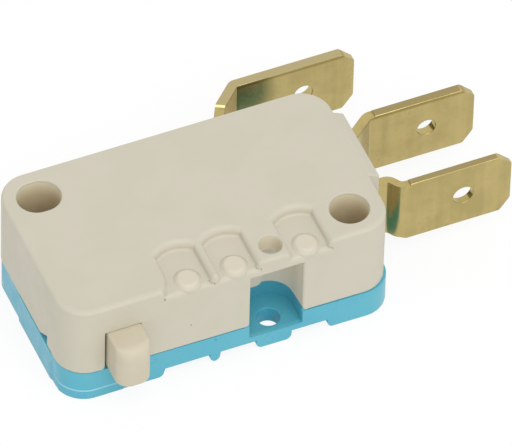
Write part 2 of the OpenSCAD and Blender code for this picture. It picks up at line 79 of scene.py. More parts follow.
# How far a cutter reaches past a face that it cuts through, past an edge that it rounds, and past
# a blade's tip
OVER = 1
SPARE = 0.1
TIP_SPARE = 0.02

# Shadow line between the body and the cover, which falls a little towards the right end. The
# cover is a little smaller than the body, longer at its right end, and has a low foot round its
# front left corner
SEAM_DROP = (0.015, 0.31)
SEAM_H = 0.1
SEAM_DEPTH = 0.3
SEAM_R = 0.04
FILL_GAP = 0.02
COVER_IN = 0.05
COVER_LONGER = 0.11
COVER_WIDER = 0.15
COVER_EDGE_R = 0.04
BODY_SHORTER = 0.11
FOOT_H = 0.9
FOOT_OUT = 0.01
FOOT_EDGE_H = 0.06
FOOT_FROM_DEG = 195

# Mounting holes: round at the front right, oblong at the back left
HOLE_R = 1.6
SLOT_PLAY = 0.4
BOSS_WALL = 1
BOSS_R = HOLE_R + BOSS_WALL
HOLE_X = -CASE_MIDDLE.x / MM
HOLE_Y = CASE_MIDDLE.y / MM
HOLE_EDGE_R = 0.14

# Lever fittings
POCKET_X = 3.83
POCKET_W = 4.55
POCKET_HALF = POCKET_W / 2
POCKET_R = 1.92
POCKET_DEPTH = 3.9
POCKET_BACK = FRONT + POCKET_DEPTH
POCKET_Y = POCKET_BACK - POCKET_R
POCKET_WALL = 0.8
POCKET_EDGES_R = (0.06, 0.25)
PIVOT_R = 0.92
PIVOT_IN = 1.52
PIVOT_Y = FRONT + PIVOT_IN
PIVOT_EDGE_R = 0.22
PIVOT_RIM_R = 0.1
LUG_T = 0.35
LUG_PAST = 0.23
LUG_CORNER_R = 0.45
LUG_GAP = 0.1
LUG_LAP = 0.1
SEAT_FAR = 7.2
SEAT_NEAR = 3.25
SEAT_RIGHT = 2.85
SEATS_X = (POCKET_X - SEAT_FAR, POCKET_X - SEAT_NEAR, POCKET_X + SEAT_RIGHT)
SEAT_W = 3.2
UNDER_SEAT_W = 3.1
UNDER_SEAT_SHIFT = 0.07
SEAT_L = 4.4
SEAT_ARC = 0.75
SEAT_FLARE = 0.85
SEAT_DEPTH = 0.82
SEAT_EDGE_R = 0.55
SEAT_FLOOR_R = 0.25
SEAT_LIP_R = 0.45
SEAT_END_R = 0.3
UNDER_LIP_R = 0.1
UNDER_END_R = 0.01
POST_R = 0.97
POST_H = 0.3
POST_IN = 1.15
POST_Y = FRONT + POST_IN
POST_FLANK = 0.27
POST_SUNK = 0.01
SLOT_CORNER_R = 0.42
POCKET_CORNERS_R = (0.42, 0.42)
POCKET_CORNER_END_R = 0.05

# Plunger
PLUNGER_LOW, PLUNGER_HIGH = box_in_mm("plunger")
PLUNGER_X = (PLUNGER_LOW.x + PLUNGER_HIGH.x) / 2
FLANGE_LIP = 0.65
FLANGE_T = 0.8
FLANGE_EDGE_R = 0.1
PLUNGER_HALF = (PLUNGER_HIGH.x - PLUNGER_LOW.x) / 2 - FLANGE_LIP
PLUNGER_NOSE_R = 1.15
PLUNGER_H = 3.95
PLUNGER_Z = (PLUNGER_HIGH.z - FLANGE_LIP - PLUNGER_H, PLUNGER_HIGH.z - FLANGE_LIP)
PLUNGER_NOSE_EDGE_R = 1
PLUNGER_EDGE_R = 0.15
SLOT_LEFT_GAP = 0.17
SLOT_RIGHT_GAP = 0.02
SLOT_TOP_GAP = 0.07
SLOT_X = (PLUNGER_X - PLUNGER_HALF - SLOT_LEFT_GAP, PLUNGER_X + PLUNGER_HALF + SLOT_RIGHT_GAP)
STEM_IN = 4.77
STEM_X = LEFT + STEM_IN
STEM_R = 0.8
STEM_H = 2.6

# Ends of the case
PAD_OUT = 0.05
PAD_RAMP = 0.3
PAD_IN = (3.25, 9.75)
PAD_Y = (FRONT + PAD_IN[0], FRONT + PAD_IN[1])
NICK_IN = 4
NICK_Y = FRONT + NICK_IN
NICK_L = 1.65
NICK_H = 1.15
TONGUE_BACK = 0.3
TONGUE_GAP = 0.1
TONGUE_SHARE = 0.72
LEDGE_OUT = 0.82
LEDGE_Y = (-2.505, 4.795)
LEDGE_SLOPE = 0.5
LEDGE_DROP = 0.05
LEDGE_EDGE_R = 0.12

# Blade terminals
TAB_GAP = 0.05
TAB_HOLE_IN = 4.2
TAB_HOLE_EDGE_R = 0.05
TAB_CHAMFER = 1.1
TAB_TOP_CHAMFER = 1.28
TAB_BEVEL_L = 0.9
TAB_BEVEL_D = 0.18
TAB_CORNER_R = 0.6
TAB_EDGE_R = 0.12
COMMON_EDGE_R = 0.05
TAB_SHOULDER = 0.12
TAB_LOW_SHOULDER = 0.28
LOW_SHOULDER_RUN = 0.7
SHOULDER_LEAD = 0.25
BEND_R = 0.5
LEAN_IN = (1.6, 0.4)
WIDE_BEND_R = 0.08
NECK_D = 0.12
NECK_SLOPE = 0.15

# Inside the case: holes for the contacts' shanks and the lever's pin, and the arm's fork and groove
FIT_GAP = 0.03
SHANK_R = 0.75
KNUCKLE_R = 0.45
FORK_WINDOW = 2.7
FORK_ROOT = 0.6

# Fineness of the curves
CORNER_STEPS = 24
EDGE_STEPS = 8
BEVEL_STEPS = 4
BEND_DEG = 6


def arc(x, y, r, start_deg, end_deg, steps):
    """Points of an arc, both ends included."""
    angles = [math.radians(start_deg + (end_deg - start_deg) * i / steps) for i in range(steps + 1)]
    return [(x + r * math.cos(a), y + r * math.sin(a)) for a in angles]


# Outlines: each is a function of the distance by which the outline has grown


def case_outline(grow):
    x, y = CASE_L / 2 - CORNER_R, CASE_W / 2 - CORNER_R
    corners = ((x, y, 0), (-x, y, 90), (-x, -y, 180), (x, -y, 270))
    return [p for cx, cy, a in corners for p in arc(cx, cy, CORNER_R + grow, a, a + 90, CORNER_STEPS)]


def top_outline(grow):
    """The case's outline, set back as it shrinks, so that its front edge is the rounder one."""
    points = []
    for x, y in case_outline(grow):
        shorter = BODY_SHORTER if x > 0 and y < 0 else 0
        points.append((x - shorter, y - TOP_EDGE_SHIFT * grow))
    return points


def cover_outline(grow):
    """The case's outline, a little longer at the right end and wider at its front right corner."""
    points = []
    for x, y in case_outline(grow - COVER_IN):
        longer = COVER_LONGER if x > 0 else 0
        wider = COVER_WIDER if x > 0 and y < 0 else 0
        points.append((x + longer, y - wider))
    return points


def foot_outline(grow):
    """The foot round the cover's front left corner, as far as the plunger."""
    out = FOOT_OUT + grow
    corner = arc(LEFT + CORNER_R, FRONT + CORNER_R, CORNER_R + out, FOOT_FROM_DEG, 270, CORNER_STEPS)
    back = FRONT + WALL
    return corner + [(PLUNGER_X, FRONT - out), (PLUNGER_X, back), (LEFT + CORNER_R, back)]


def inner_outline(grow):
    return case_outline(grow - WALL)


def circle_outline(x, y, r):
    return lambda grow: arc(x, y, r + grow, 0, 360, 2 * CORNER_STEPS)[:-1]


def oblong_outline(x, y, r, play):
    def outline(grow):
        right = arc(x + play / 2, y, r + grow, -90, 90, CORNER_STEPS)
        return right + arc(x - play / 2, y, r + grow, 90, 270, CORNER_STEPS)
    return outline


def pocket_outline(front):
    """The pocket in plan, with a rounded back."""
    flat = POCKET_HALF - POCKET_R

    def outline(grow):
        right = arc(POCKET_X + flat, POCKET_Y, POCKET_R + grow, 0, 90, CORNER_STEPS)
        left = arc(POCKET_X - flat, POCKET_Y, POCKET_R + grow, 90, 180, CORNER_STEPS)
        return [(right[0][0], front)] + right + left + [(left[-1][0], front)]
    return outline


def pocket_mouth(grow):
    """The pocket in plan, open to the front, where its upright edges are rounded."""
    left_r, right_r = POCKET_EDGES_R
    sides = pocket_outline(FRONT)(grow)
    right, left = sides[0][0], sides[-1][0]
    right_edge = arc(right + right_r, FRONT + right_r, right_r, 270, 180, EDGE_STEPS)
    left_edge = arc(left - left_r, FRONT + left_r, left_r, 0, -90, EDGE_STEPS)
    return ([(right + right_r, FRONT - OVER)] + right_edge + sides[1:-1] + left_edge
            + [(left - left_r, FRONT - OVER)])


def seat_outline(x, w, flare, end_r):
    """A seat open to the front, with an arched back, its upright edges rounded by end_r.

    Its left side may open out to the front instead.
    """
    arc_r = SEAT_ARC * w
    arc_y = FRONT + SEAT_L - arc_r

    def outline(grow):
        half, r = w / 2 + grow, arc_r + grow
        side = math.degrees(math.acos(half / r))
        right_end = arc(x + half + end_r, FRONT + end_r, end_r, 270, 180, EDGE_STEPS)
        arch = arc(x, arc_y, r, side, 180 - side, CORNER_STEPS)
        points = [(x + half + end_r, FRONT - OVER)] + right_end + arch
        if not flare:
            left_end = arc(x - half - end_r, FRONT + end_r, end_r, 0, -90, EDGE_STEPS)
            return points + left_end + [(x - half - end_r, FRONT - OVER)]
        for i in range(EDGE_STEPS + 1):
            t = i / EDGE_STEPS
            points.append((x - half - flare * t * t, FRONT + SEAT_L / 2 * (1 - t)))
        return points + [(x - half - flare, FRONT - OVER)]
    return outline


def plunger_outline(side_in, nose_in, back):
    """The plunger in plan, from its rounded nose to its flange, its sides and its nose set in."""
    flat, y = PLUNGER_HALF - PLUNGER_NOSE_R, PLUNGER_LOW.y + PLUNGER_NOSE_R
    across, along = PLUNGER_NOSE_R - side_in, PLUNGER_NOSE_R - nose_in
    quarter = arc(0, 0, 1, 180, 270, CORNER_STEPS)
    left = [(PLUNGER_X - flat + across * a, y + along * b) for a, b in quarter]
    right = [(PLUNGER_X + flat - across * a, y + along * b) for a, b in quarter[::-1]]
    return left + right + [(right[-1][0], back), (left[0][0], back)]


# Solids: lofts through outlines along Z or Y, prisms, and what is made of several


def loft(rings):
    """A closed solid through rings of as many points each."""
    count = len(rings[0])
    last = (len(rings) - 1) * count
    faces = [tuple(range(count)), tuple(range(last, last + count))]
    for start in range(0, last, count):
        for i in range(count):
            j = (i + 1) % count
            faces.append((start + i, start + j, start + count + j, start + count + i))
    mesh = bpy.data.meshes.new("solid")
    mesh.from_pydata([p for ring in rings for p in ring], [], faces)
    return as_solid(mesh)


def as_solid(mesh):
    shell = bmesh.new()
    shell.from_mesh(mesh)
    bmesh.ops.recalc_face_normals(shell, faces=shell.faces)
    shell.to_mesh(mesh)
    shell.free()
    solid = bpy.data.objects.new("solid", mesh)
    bpy.context.scene.collection.objects.link(solid)
    return solid


def upright(outline, levels):
    """A solid along Z; levels are pairs of a height and a growth of the outline."""
    return loft([[(x, y, z) for x, y in outline(grow)] for z, grow in levels])


def split_at(x):
    """Height of the cover's rim at a place along the case."""
    left, right = SEAM_DROP
    return SPLIT_Z - left - (right - left) * (x - LEFT) / CASE_L


def split_upright(outline, levels):
    """A solid along Z of which the end at the split follows its fall."""
    solid = upright(outline, levels)
    for vertex in solid.data.vertices:
        if abs(vertex.co.z - SPLIT_Z) < WALL / 2:
            vertex.co.z += split_at(vertex.co.x) - SPLIT_Z
    return solid


def along_y(outline, levels):
    """A solid along Y, of an outline in X and Z."""
    return loft([[(x, y, z) for x, z in outline(grow)] for y, grow in levels])


def edge_levels(end, r, side, flare):
    """Levels round an edge of radius r at the upper (side 1) or lower (side -1) end.

    The edge turns inwards with flare -1, and outwards, as a hole's mouth, with flare 1.
    """
    angles = [math.pi / 2 * i / EDGE_STEPS for i in range(EDGE_STEPS + 1)]
    return [(end - side * r * (1 - math.sin(a)), flare * r * (1 - math.cos(a))) for a in angles]


def mouth_levels(end, r, side):
    """Levels of a cutter that leaves a rounded edge round its mouth."""
    return edge_levels(end, r, side, 1) + [(end + side * OVER, r)]


def prism(points, axis, low, high, edge_r=0):
    """A prism along an axis, of an outline in the other two, with its edges rounded by edge_r."""
    order = {
        "x": lambda a, b, h: (h, a, b),
        "y": lambda a, b, h: (a, h, b),
        "z": lambda a, b, h: (a, b, h),
    }
    solid = loft([[order[axis](a, b, h) for a, b in points] for h in (low, high)])
    if edge_r:
        shell = bmesh.new()
        shell.from_mesh(solid.data)
        bmesh.ops.bevel(
            shell, geom=shell.edges[:], offset=edge_r,
            segments=BEVEL_STEPS, profile=0.5, affect="EDGES",
        )
        shell.to_mesh(solid.data)
        shell.free()
    return solid


def rectangle(a0, b0, a1, b1):
    return [(a0, b0), (a1, b0), (a1, b1), (a0, b1)]


def combine(solid, tool, operation):
    """Joins a solid with another, or cuts one from the other, and drops the other."""
    modifier = solid.modifiers.new("combine", "BOOLEAN")
    modifier.operation = operation
    modifier.solver = "MANIFOLD"
    modifier.object = tool
    depsgraph = bpy.context.evaluated_depsgraph_get()
    made = bpy.data.meshes.new_from_object(solid.evaluated_get(depsgraph))
    solid.modifiers.clear()
    solid.data = made
    bpy.data.objects.remove(tool)


def add(solid, *others):
    for other in others:
        combine(solid, other, "UNION")


def cut(solid, *others):
    for other in others:
        combine(solid, other, "DIFFERENCE")


def lower_corners():
    """The body's lower edges beside the plunger's slot and the pocket.

    Each is its place along X, the side on which the body lies, the depth to which it runs, and
    its height and radius at the front and at that depth.
    """
    corners = []
    for x, side in zip(SLOT_X, (-1, 1)):
        front_end = (split_at(x) + SEAM_H, SLOT_CORNER_R)
        corners.append((x, side, FRONT + WALL, front_end, front_end))
    for side, r in zip((-1, 1), POCKET_CORNERS_R):
        x = POCKET_X + side * POCKET_HALF
        front_end = (split_at(x) + SEAM_H, r)
        corners.append((x, side, POCKET_Y, front_end, (SPLIT_Z, POCKET_CORNER_END_R)))
    return corners


def corner_curve(x, side, z, r, gap):
    """The rounded lower corner of the body at x and z, or a curve that lies a gap outside it."""
    start = 180 + math.degrees(math.acos(r / (r + gap)))
    curve = arc(0, z + r, r + gap, start, 270, EDGE_STEPS)
    return [(x + side * (r + a), b) for a, b in curve]


def corner_cutters():
    """Cutters that round those edges."""
    cutters = []
    for x, side, back, front_end, back_end in lower_corners():
        low, beside_x = split_at(x) - SPARE, x - side * SPARE
        rings = []
        for y, (z, r) in ((FRONT - OVER, front_end), (FRONT, front_end), (back, back_end)):
            below = [(x + side * r, low), (beside_x, low), (beside_x, z + r)]
            rings.append([(a, y, b) for a, b in corner_curve(x, side, z, r, 0) + below])
        cutters.append(loft(rings))
    return cutters


def corner_fills():
    """What stands up from the cover into those corners."""
    fills = []
    for x, side, back, front_end, back_end in lower_corners():
        low = split_at(x) - WALL / 2
        rings = []
        for y, (z, r) in ((FRONT + COVER_IN, front_end), (back, back_end)):
            curve = corner_curve(x, side, z, r, FILL_GAP)
            rings.append([(a, y, b) for a, b in curve + [(curve[-1][0], low), (x, low)]])
        fills.append(loft(rings))
    return fills


def round_lip(x0, x1, z, sz, r):
    """Cutter that rounds the front edge of a seat's floor at height z; the solid lies towards sz."""
    curve = arc(FRONT + r, z + sz * r, r, 180, 90 if sz < 0 else 270, EDGE_STEPS)
    front, past = FRONT - SPARE, z - sz * SPARE
    outside = [(curve[-1][0], past), (front, past), (front, curve[0][1])]
    return prism(curve + outside, "x", x0, x1)


# Case: what the body and the cover share


def inner_walls(low, high):
    """The moulded walls round the mounting holes and behind the pocket."""
    walls = []
    for x, y in ((HOLE_X, -HOLE_Y), (-HOLE_X, HOLE_Y)):
        walls.append(split_upright(circle_outline(x, y, BOSS_R), [(low, 0), (high, 0)]))
    pocket = pocket_outline(FRONT + WALL / 2)
    walls.append(upright(pocket, [(low, POCKET_WALL), (high, POCKET_WALL)]))
    return walls


def hole_cutters(mouth_z, side, far_z):
    """Cutters of the two mounting holes, from far_z to the mouths, which open to the given side."""
    round_hole = circle_outline(HOLE_X, -HOLE_Y, HOLE_R)
    oblong_hole = oblong_outline(-HOLE_X, HOLE_Y, HOLE_R, SLOT_PLAY)
    levels = [(far_z, 0)] + mouth_levels(mouth_z, HOLE_EDGE_R, side)
    return [upright(hole, levels) for hole in (round_hole, oblong_hole)]


def seat_cutters(floor_z, end_z, side, w, shift, lip_r, end_r):
    """Cutters of the seats and their rounded lips, from the seats' floors to the case's face."""
    cutters = []
    for x in [seat_x + shift for seat_x in SEATS_X]:
        flare = SEAT_FLARE if x == SEATS_X[0] + shift else 0
        outline = seat_outline(x, w, flare, end_r)
        corner = edge_levels(floor_z, SEAT_FLOOR_R, -side, -1)[::-1]
        cutters.append(upright(outline, corner + mouth_levels(end_z, SEAT_EDGE_R, side)))
        left, right = x - w / 2 - max(flare, end_r), x + w / 2 + end_r
        cutters.append(round_lip(left, right, floor_z, -side, lip_r))
    return cutters


def seat_posts(floor_z):
    """The low round post in each seat of the roof, with gently sloping flanks."""
    levels = [(floor_z - POST_H, POST_FLANK)]
    for i in range(2 * EDGE_STEPS + 1):
        t = i / (2 * EDGE_STEPS)
        rise = t * t * (3 - 2 * t)
        levels.append((floor_z - POST_SUNK + POST_H * rise, POST_FLANK * (1 - 2 * t)))
    return [upright(circle_outline(x, POST_Y, POST_R), levels) for x in SEATS_X]


def plunger_slot():
    """The plunger's slot, open to the cover below."""
    corners = rectangle(SLOT_X[0], SPLIT_Z - OVER, SLOT_X[1], PLUNGER_Z[1] + SLOT_TOP_GAP)
    return prism(corners, "y", FRONT - OVER, FRONT + WALL + OVER)


def pin_hole():
    """Blind holes for the lever's pin in the roof and in the floor."""
    low, high = box_in_mm("lever_pin")
    pin = circle_outline((low.x + high.x) / 2, (low.y + high.y) / 2, (high.x - low.x) / 2 + FIT_GAP)
    return upright(pin, [(low.z - FIT_GAP, 0), (high.z + FIT_GAP, 0)])


def blade_slots():
    """Slots for the blades in the right end and in the back wall."""
    slots = []
    for blade in (NC, NO):
        y0, y1 = blade["y"] - blade["t"] / 2 - TAB_GAP, blade["y"] + blade["t"] / 2 + TAB_GAP
        low, high = MID_Z - TAB_W / 2 + TAB_LOW_SHOULDER, MID_Z + TAB_W / 2 - TAB_SHOULDER
        corners = rectangle(y0, low - TAB_GAP, y1, high + TAB_GAP)
        slots.append(prism(corners, "x", RIGHT - WALL - OVER, RIGHT + LEDGE_OUT + OVER))
    half = TAB_W / 2 + TAB_GAP
    reach = COMMON["t"] / 2 + TAB_GAP
    corners = rectangle(COMMON_X - reach, MID_Z - half, COMMON_X + reach, MID_Z + half)
    slots.append(prism(corners, "y", BACK - WALL - OVER, BACK + OVER))
    return slots


# Blade terminals, their places taken from the frame


def end_blade(node, contact, t, out, bends, lean, hole_r):
    """Where an end blade of thickness t runs: through the wall at y, then stepped sideways to y_tip.

    It steps to the back with out 1 and to the front with out -1, between two bends past the case's
    end. The lean is how far back the real blade is bent, in the wall and at its tip.
    """
    low, high = box_in_mm(node)
    inner_y, y_tip = (low.y + t / 2, high.y - t / 2) if out > 0 else (high.y - t / 2, low.y + t / 2)
    y, y_tip = inner_y + lean[0], y_tip + lean[1]
    lean_from, lean_to = [RIGHT - WALL - d for d in LEAN_IN]
    path = [(low.x, inner_y), (lean_from, inner_y), (lean_to, y), (RIGHT + bends[0], y),
            (RIGHT + bends[1], y_tip), (high.x, y_tip)]
    slope = math.atan2(abs(y_tip - y), bends[1] - bends[0])
    bend = (BEND_R + t / 2) * math.tan(slope / 2)
    return {
        "node": node, "contact": contact, "t": t, "y": y, "y_tip": y_tip, "path": path, "tip": high.x,
        "step_x": RIGHT + bends[1], "bend": bend, "hole_r": hole_r, "hole_in": TAB_HOLE_IN,
    }


NC = end_blade(
    "normally_closed_terminal", "normally_closed_contact",
    t=0.65, out=-1, bends=(1.95, 2.62), lean=(0.18, 0.03), hole_r=0.88,
)
NO = end_blade(
    "normally_open_terminal", "normally_open_contact",
    t=0.8, out=1, bends=(1.2, 3.05), lean=(0.01, 0.03), hole_r=0.82,
)
common_low, common_high = box_in_mm("common_terminal")
TAB_W = common_high.z - common_low.z
COMMON_T = 0.8
COMMON_X = 6
COMMON_OUT = 1.35
COMMON_LEAN = (0.66, 2.6)
COMMON_SLOPE_X = 2.5
COMMON_HOLE_R = 0.8
COMMON_HOLE_IN = 4.45
COMMON_RUN_Y = BACK - WALL - BEND_R - COMMON_T / 2 - TAB_GAP
COMMON_TIP_Y = common_high.y - COMMON_T / 2
COMMON = {
    "node": "common_terminal", "t": COMMON_T, "y_tip": COMMON_TIP_Y, "tip": common_high.x,
    "hole_r": COMMON_HOLE_R, "hole_in": COMMON_HOLE_IN,
    "path": [
        (common_low.x + COMMON_T / 2, common_low.y),
        (common_low.x + COMMON_T / 2, COMMON_RUN_Y),
        (COMMON_X, COMMON_RUN_Y),
        (COMMON_X, BACK + COMMON_OUT),
        (COMMON_X + COMMON_LEAN[0], BACK + COMMON_LEAN[1]),
        (COMMON_X + COMMON_SLOPE_X, COMMON_TIP_Y),
        (common_high.x, COMMON_TIP_Y),
    ],
}


def rounded_path(path, radii):
    """The path with each bend replaced by an arc of its radius."""
    points = [Vector(path[0])]
    for a, b, c, r in zip(path, path[1:], path[2:], radii):
        a, b, c = Vector(a), Vector(b), Vector(c)
        u, v = (b - a).normalized(), (c - b).normalized()
        turn = math.atan2(u.x * v.y - u.y * v.x, u.dot(v))
        side = math.copysign(1, turn)
        start = b - u * r * math.tan(abs(turn) / 2)
        spoke = Vector((u.y, -u.x)) * side * r
        centre = start - spoke
        steps = max(2, math.ceil(math.degrees(abs(turn)) / BEND_DEG))
        for i in range(steps + 1):
            points.append(centre + Matrix.Rotation(turn * i / steps, 2) @ spoke)
    return points + [Vector(path[-1])]


def beside(path, d):
    """The path moved to its left by d."""
    moved = []
    for i, p in enumerate(path):
        before = (path[max(i, 1)] - path[max(i, 1) - 1]).normalized()
        after = (path[min(i + 1, len(path) - 1)] - path[min(i + 1, len(path) - 1) - 1]).normalized()
        n1, n2 = Vector((-before.y, before.x)), Vector((-after.y, after.x))
        moved.append(p + d * (n1 + n2) / (1 + n1.dot(n2)))
    return moved


def strip(path, t, inner_radii, edge_r):
    """Strip metal along a path, with its long edges rounded by edge_r."""
    smooth = rounded_path(path, [r + t / 2 for r in inner_radii])

    def outline(grow):
        half = t / 2 + grow
        return [tuple(p) for p in beside(smooth, -half) + beside(smooth, half)[::-1]]

    low, high = MID_Z - TAB_W / 2, MID_Z + TAB_W / 2
    levels = edge_levels(low, edge_r, -1, -1)[::-1] + edge_levels(high, edge_r, 1, -1)
    return upright(outline, levels)


def tip_cutters(blade):
    """Cutters of a blade's tip: two corners, two thinned faces and the hole."""
    tip, y, t = blade["tip"], blade["y_tip"], blade["t"]
    far, past = 2 * TAB_CHAMFER, tip + OVER
    cutters = []
    for side in (-1, 1):
        z = MID_Z + side * TAB_W / 2
        inner, outer = z - side * far, z + side * OVER
        along = TAB_TOP_CHAMFER if side > 0 else TAB_CHAMFER
        edge, end = z + side * TIP_SPARE, tip + TIP_SPARE
        corner = [(tip - far, edge), (tip - along, edge), (end, z - side * TAB_CHAMFER), (end, inner)]
        curve = [tuple(p) for p in rounded_path(corner, [TAB_CORNER_R] * 2)]
        outside = [(past, inner), (past, outer), (tip - far, outer)]
        cutters.append(prism(curve + outside, "y", y - t, y + t))
        face = y + side * t / 2
        thinned, clear = face - side * TAB_BEVEL_D, face + side * OVER
        start = tip - TAB_BEVEL_L
        wedge = [(start, face), (tip, thinned), (past, thinned), (past, clear), (start, clear)]
        cutters.append(prism(wedge, "z", MID_Z - TAB_W, MID_Z + TAB_W))
    hole = circle_outline(tip - blade["hole_in"], MID_Z, blade["hole_r"])
    back_mouth = mouth_levels(y + t / 2, TAB_HOLE_EDGE_R, 1)[::-1]
    cutters.append(along_y(hole, back_mouth + mouth_levels(y - t / 2, TAB_HOLE_EDGE_R, -1)))
    return cutters


def neck_cutter(start, bend, wall_y):
    """Cutter that lowers a blade's upper edge from its bend back into the wall."""
    start, bend = Vector(start), Vector(bend)
    ahead = (bend - start).normalized()
    across = Vector((-ahead.y, ahead.x))
    reach = (bend.y - wall_y) / ahead.y
    high = MID_Z + TAB_W / 2
    low, past = high - NECK_D, high + OVER
    profile = [(-reach, low), (-NECK_SLOPE, low), (0, high), (0, past), (-reach, past)]
    rings = []
    for d in (-OVER, OVER):
        places = [(bend + ahead * s + across * d, h) for s, h in profile]
        rings.append([(p.x, p.y, h) for p, h in places])
    return loft(rings)


def make_end_blade(blade):
    """A blade of the right end, with its shoulders, its tip and the hole for its contact's shank."""
    solid = strip(blade["path"], blade["t"], [BEND_R] * 4, TAB_EDGE_R)
    shoulder_x = blade["step_x"] + blade["bend"] + SHOULDER_LEAD
    y0, y1 = min(blade["y"], blade["y_tip"]) - blade["t"], max(blade["y"], blade["y_tip"]) + blade["t"]
    root_x = blade["path"][0][0] - OVER
    for side, shoulder, run in ((-1, TAB_LOW_SHOULDER, LOW_SHOULDER_RUN), (1, TAB_SHOULDER, 0)):
        edge = MID_Z + side * TAB_W / 2
        inner, outer = edge - side * shoulder, edge + side * OVER
        corners = [(root_x, inner), (shoulder_x - run, inner), (shoulder_x, edge if run else inner),
                   (shoulder_x, outer), (root_x, outer)]
        cut(solid, prism(corners, "y", y0, y1))
    cut(solid, *tip_cutters(blade))
    low, high = box_in_mm(blade["contact"])
    shank = circle_outline((low.x + high.x) / 2, MID_Z, SHANK_R + FIT_GAP)
    cut(solid, along_y(shank, [(blade["y"] - blade["t"], 0), (blade["y"] + blade["t"], 0)]))
    return solid


def make_common():
    """The blade of the back wall, with its neck and, inside, the fork and groove for the arm."""
    t = COMMON["t"]
    solid = strip(COMMON["path"], t, [BEND_R] * 4 + [WIDE_BEND_R], COMMON_EDGE_R)
    cut(solid, *tip_cutters(COMMON))
    cut(solid, neck_cutter(COMMON["path"][3], COMMON["path"][4], BACK - WALL / 2))
    upright_x, end_y = COMMON["path"][0]
    window = rectangle(end_y - OVER, MID_Z - FORK_WINDOW / 2,
                       COMMON_RUN_Y - t / 2 - FORK_ROOT, MID_Z + FORK_WINDOW / 2)
    cut(solid, prism(window, "x", upright_x - t, upright_x + t))
    arm_low, arm_high = box_in_mm("moving_arm")
    groove = circle_outline(arm_low.x + KNUCKLE_R, (arm_low.y + arm_high.y) / 2, KNUCKLE_R + FIT_GAP)
    cut(solid, upright(groove, [(MID_Z - TAB_W, 0), (MID_Z + TAB_W, 0)]))
    return solid


# Case pieces


def make_body():
    """The upper shell, with the shadow line round its lower edge."""
    seam = [(SPLIT_Z, -SEAM_DEPTH), (SPLIT_Z + SEAM_H, -SEAM_DEPTH)]
    lower_edge = edge_levels(SPLIT_Z + SEAM_H, SEAM_R, -1, -1)[::-1]
    body = split_upright(top_outline, seam + lower_edge + edge_levels(CASE_H, TOP_EDGE_R, 1, -1))
    cut(body, upright(inner_outline, [(SPLIT_Z - OVER, 0), (ROOF_Z, 0)]))
    add(body, *inner_walls(SPLIT_Z, ROOF_Z + OVER / 2), end_ledge())
    cut(body, upright(pocket_mouth, [(SPLIT_Z - OVER, 0), (ROOF_Z, 0)]))
    add(body, pocket_lug())
    cut(body, *hole_cutters(CASE_H, 1, SPLIT_Z - OVER))
    pivot = circle_outline(POCKET_X, PIVOT_Y, PIVOT_R)
    cut(body, upright(pivot, [(ROOF_Z - OVER, 0)] + mouth_levels(CASE_H, PIVOT_EDGE_R, 1)))
    seat_z = CASE_H - SEAT_DEPTH
    cut(body, *seat_cutters(seat_z, CASE_H, 1, SEAT_W, 0, SEAT_LIP_R, SEAT_END_R))
    add(body, *seat_posts(seat_z))
    cut(body, plunger_slot(), pin_hole(), *blade_slots(), end_nick(), *corner_cutters())
    return body


def end_nick():
    """Cutter of the sloping cut in the lower edge of the body's left end."""
    low, back = SPLIT_Z - OVER, NICK_Y + NICK_L
    nick = [(NICK_Y, low), (back, low), (back, SPLIT_Z), (NICK_Y, SPLIT_Z + NICK_H)]
    return prism(nick, "x", LEFT - OVER, LEFT + WALL / 2)


def end_ledge():
    """The ledge round the blades at the right end, with a sloping top."""
    low, high = split_at(RIGHT), CASE_H - LEDGE_DROP
    inner, outer = RIGHT - WALL / 2, RIGHT + LEDGE_OUT
    profile = [(inner, low), (outer, low), (outer, CASE_H - LEDGE_SLOPE), (RIGHT, high), (inner, high)]
    return prism(profile, "y", *LEDGE_Y, edge_r=LEDGE_EDGE_R)


def pocket_lug():
    """The small rib at the back left of the pocket."""
    low, high = SPLIT_Z + LUG_GAP, ROOF_Z + LUG_LAP
    left, right = POCKET_X - POCKET_HALF, POCKET_X + LUG_PAST
    corner = arc(right - LUG_CORNER_R, low + LUG_CORNER_R, LUG_CORNER_R, 270, 360, EDGE_STEPS)
    outline = [(left, low)] + corner + [(right, high), (left, high)]
    return prism(outline, "y", POCKET_BACK - LUG_T, POCKET_BACK + POCKET_WALL / 2)


def make_cover():
    """The lower shell, which closes the underside."""
    lower_edge = edge_levels(0, COVER_EDGE_R, -1, -1)[::-1]
    cover = split_upright(cover_outline, lower_edge + edge_levels(SPLIT_Z, SEAM_R, 1, -1))
    foot_top = [(FOOT_H, 0), (FOOT_H + FOOT_EDGE_H, -COVER_IN - FOOT_OUT)]
    add(cover, upright(foot_outline, lower_edge + foot_top))
    cut(cover, upright(inner_outline, [(FLOOR_Z, 0), (SPLIT_Z + OVER, 0)]))
    add(cover, *inner_walls(FLOOR_Z / 2, SPLIT_Z), end_pad(), nick_tongue())
    cut(cover, upright(pocket_outline(FRONT - OVER), [(FLOOR_Z, 0), (SPLIT_Z + OVER, 0)]))
    cut(cover, *hole_cutters(0, -1, SPLIT_Z + OVER))
    pivot = circle_outline(POCKET_X, PIVOT_Y, PIVOT_R)
    cut(cover, upright(pivot, [(-OVER, 0)] + mouth_levels(FLOOR_Z, PIVOT_RIM_R, 1)))
    seats = seat_cutters(SEAT_DEPTH, 0, -1, UNDER_SEAT_W, UNDER_SEAT_SHIFT, UNDER_LIP_R, UNDER_END_R)
    cut(cover, *seats)
    add(cover, *corner_fills())
    cut(cover, pin_hole(), *blade_slots())
    return cover


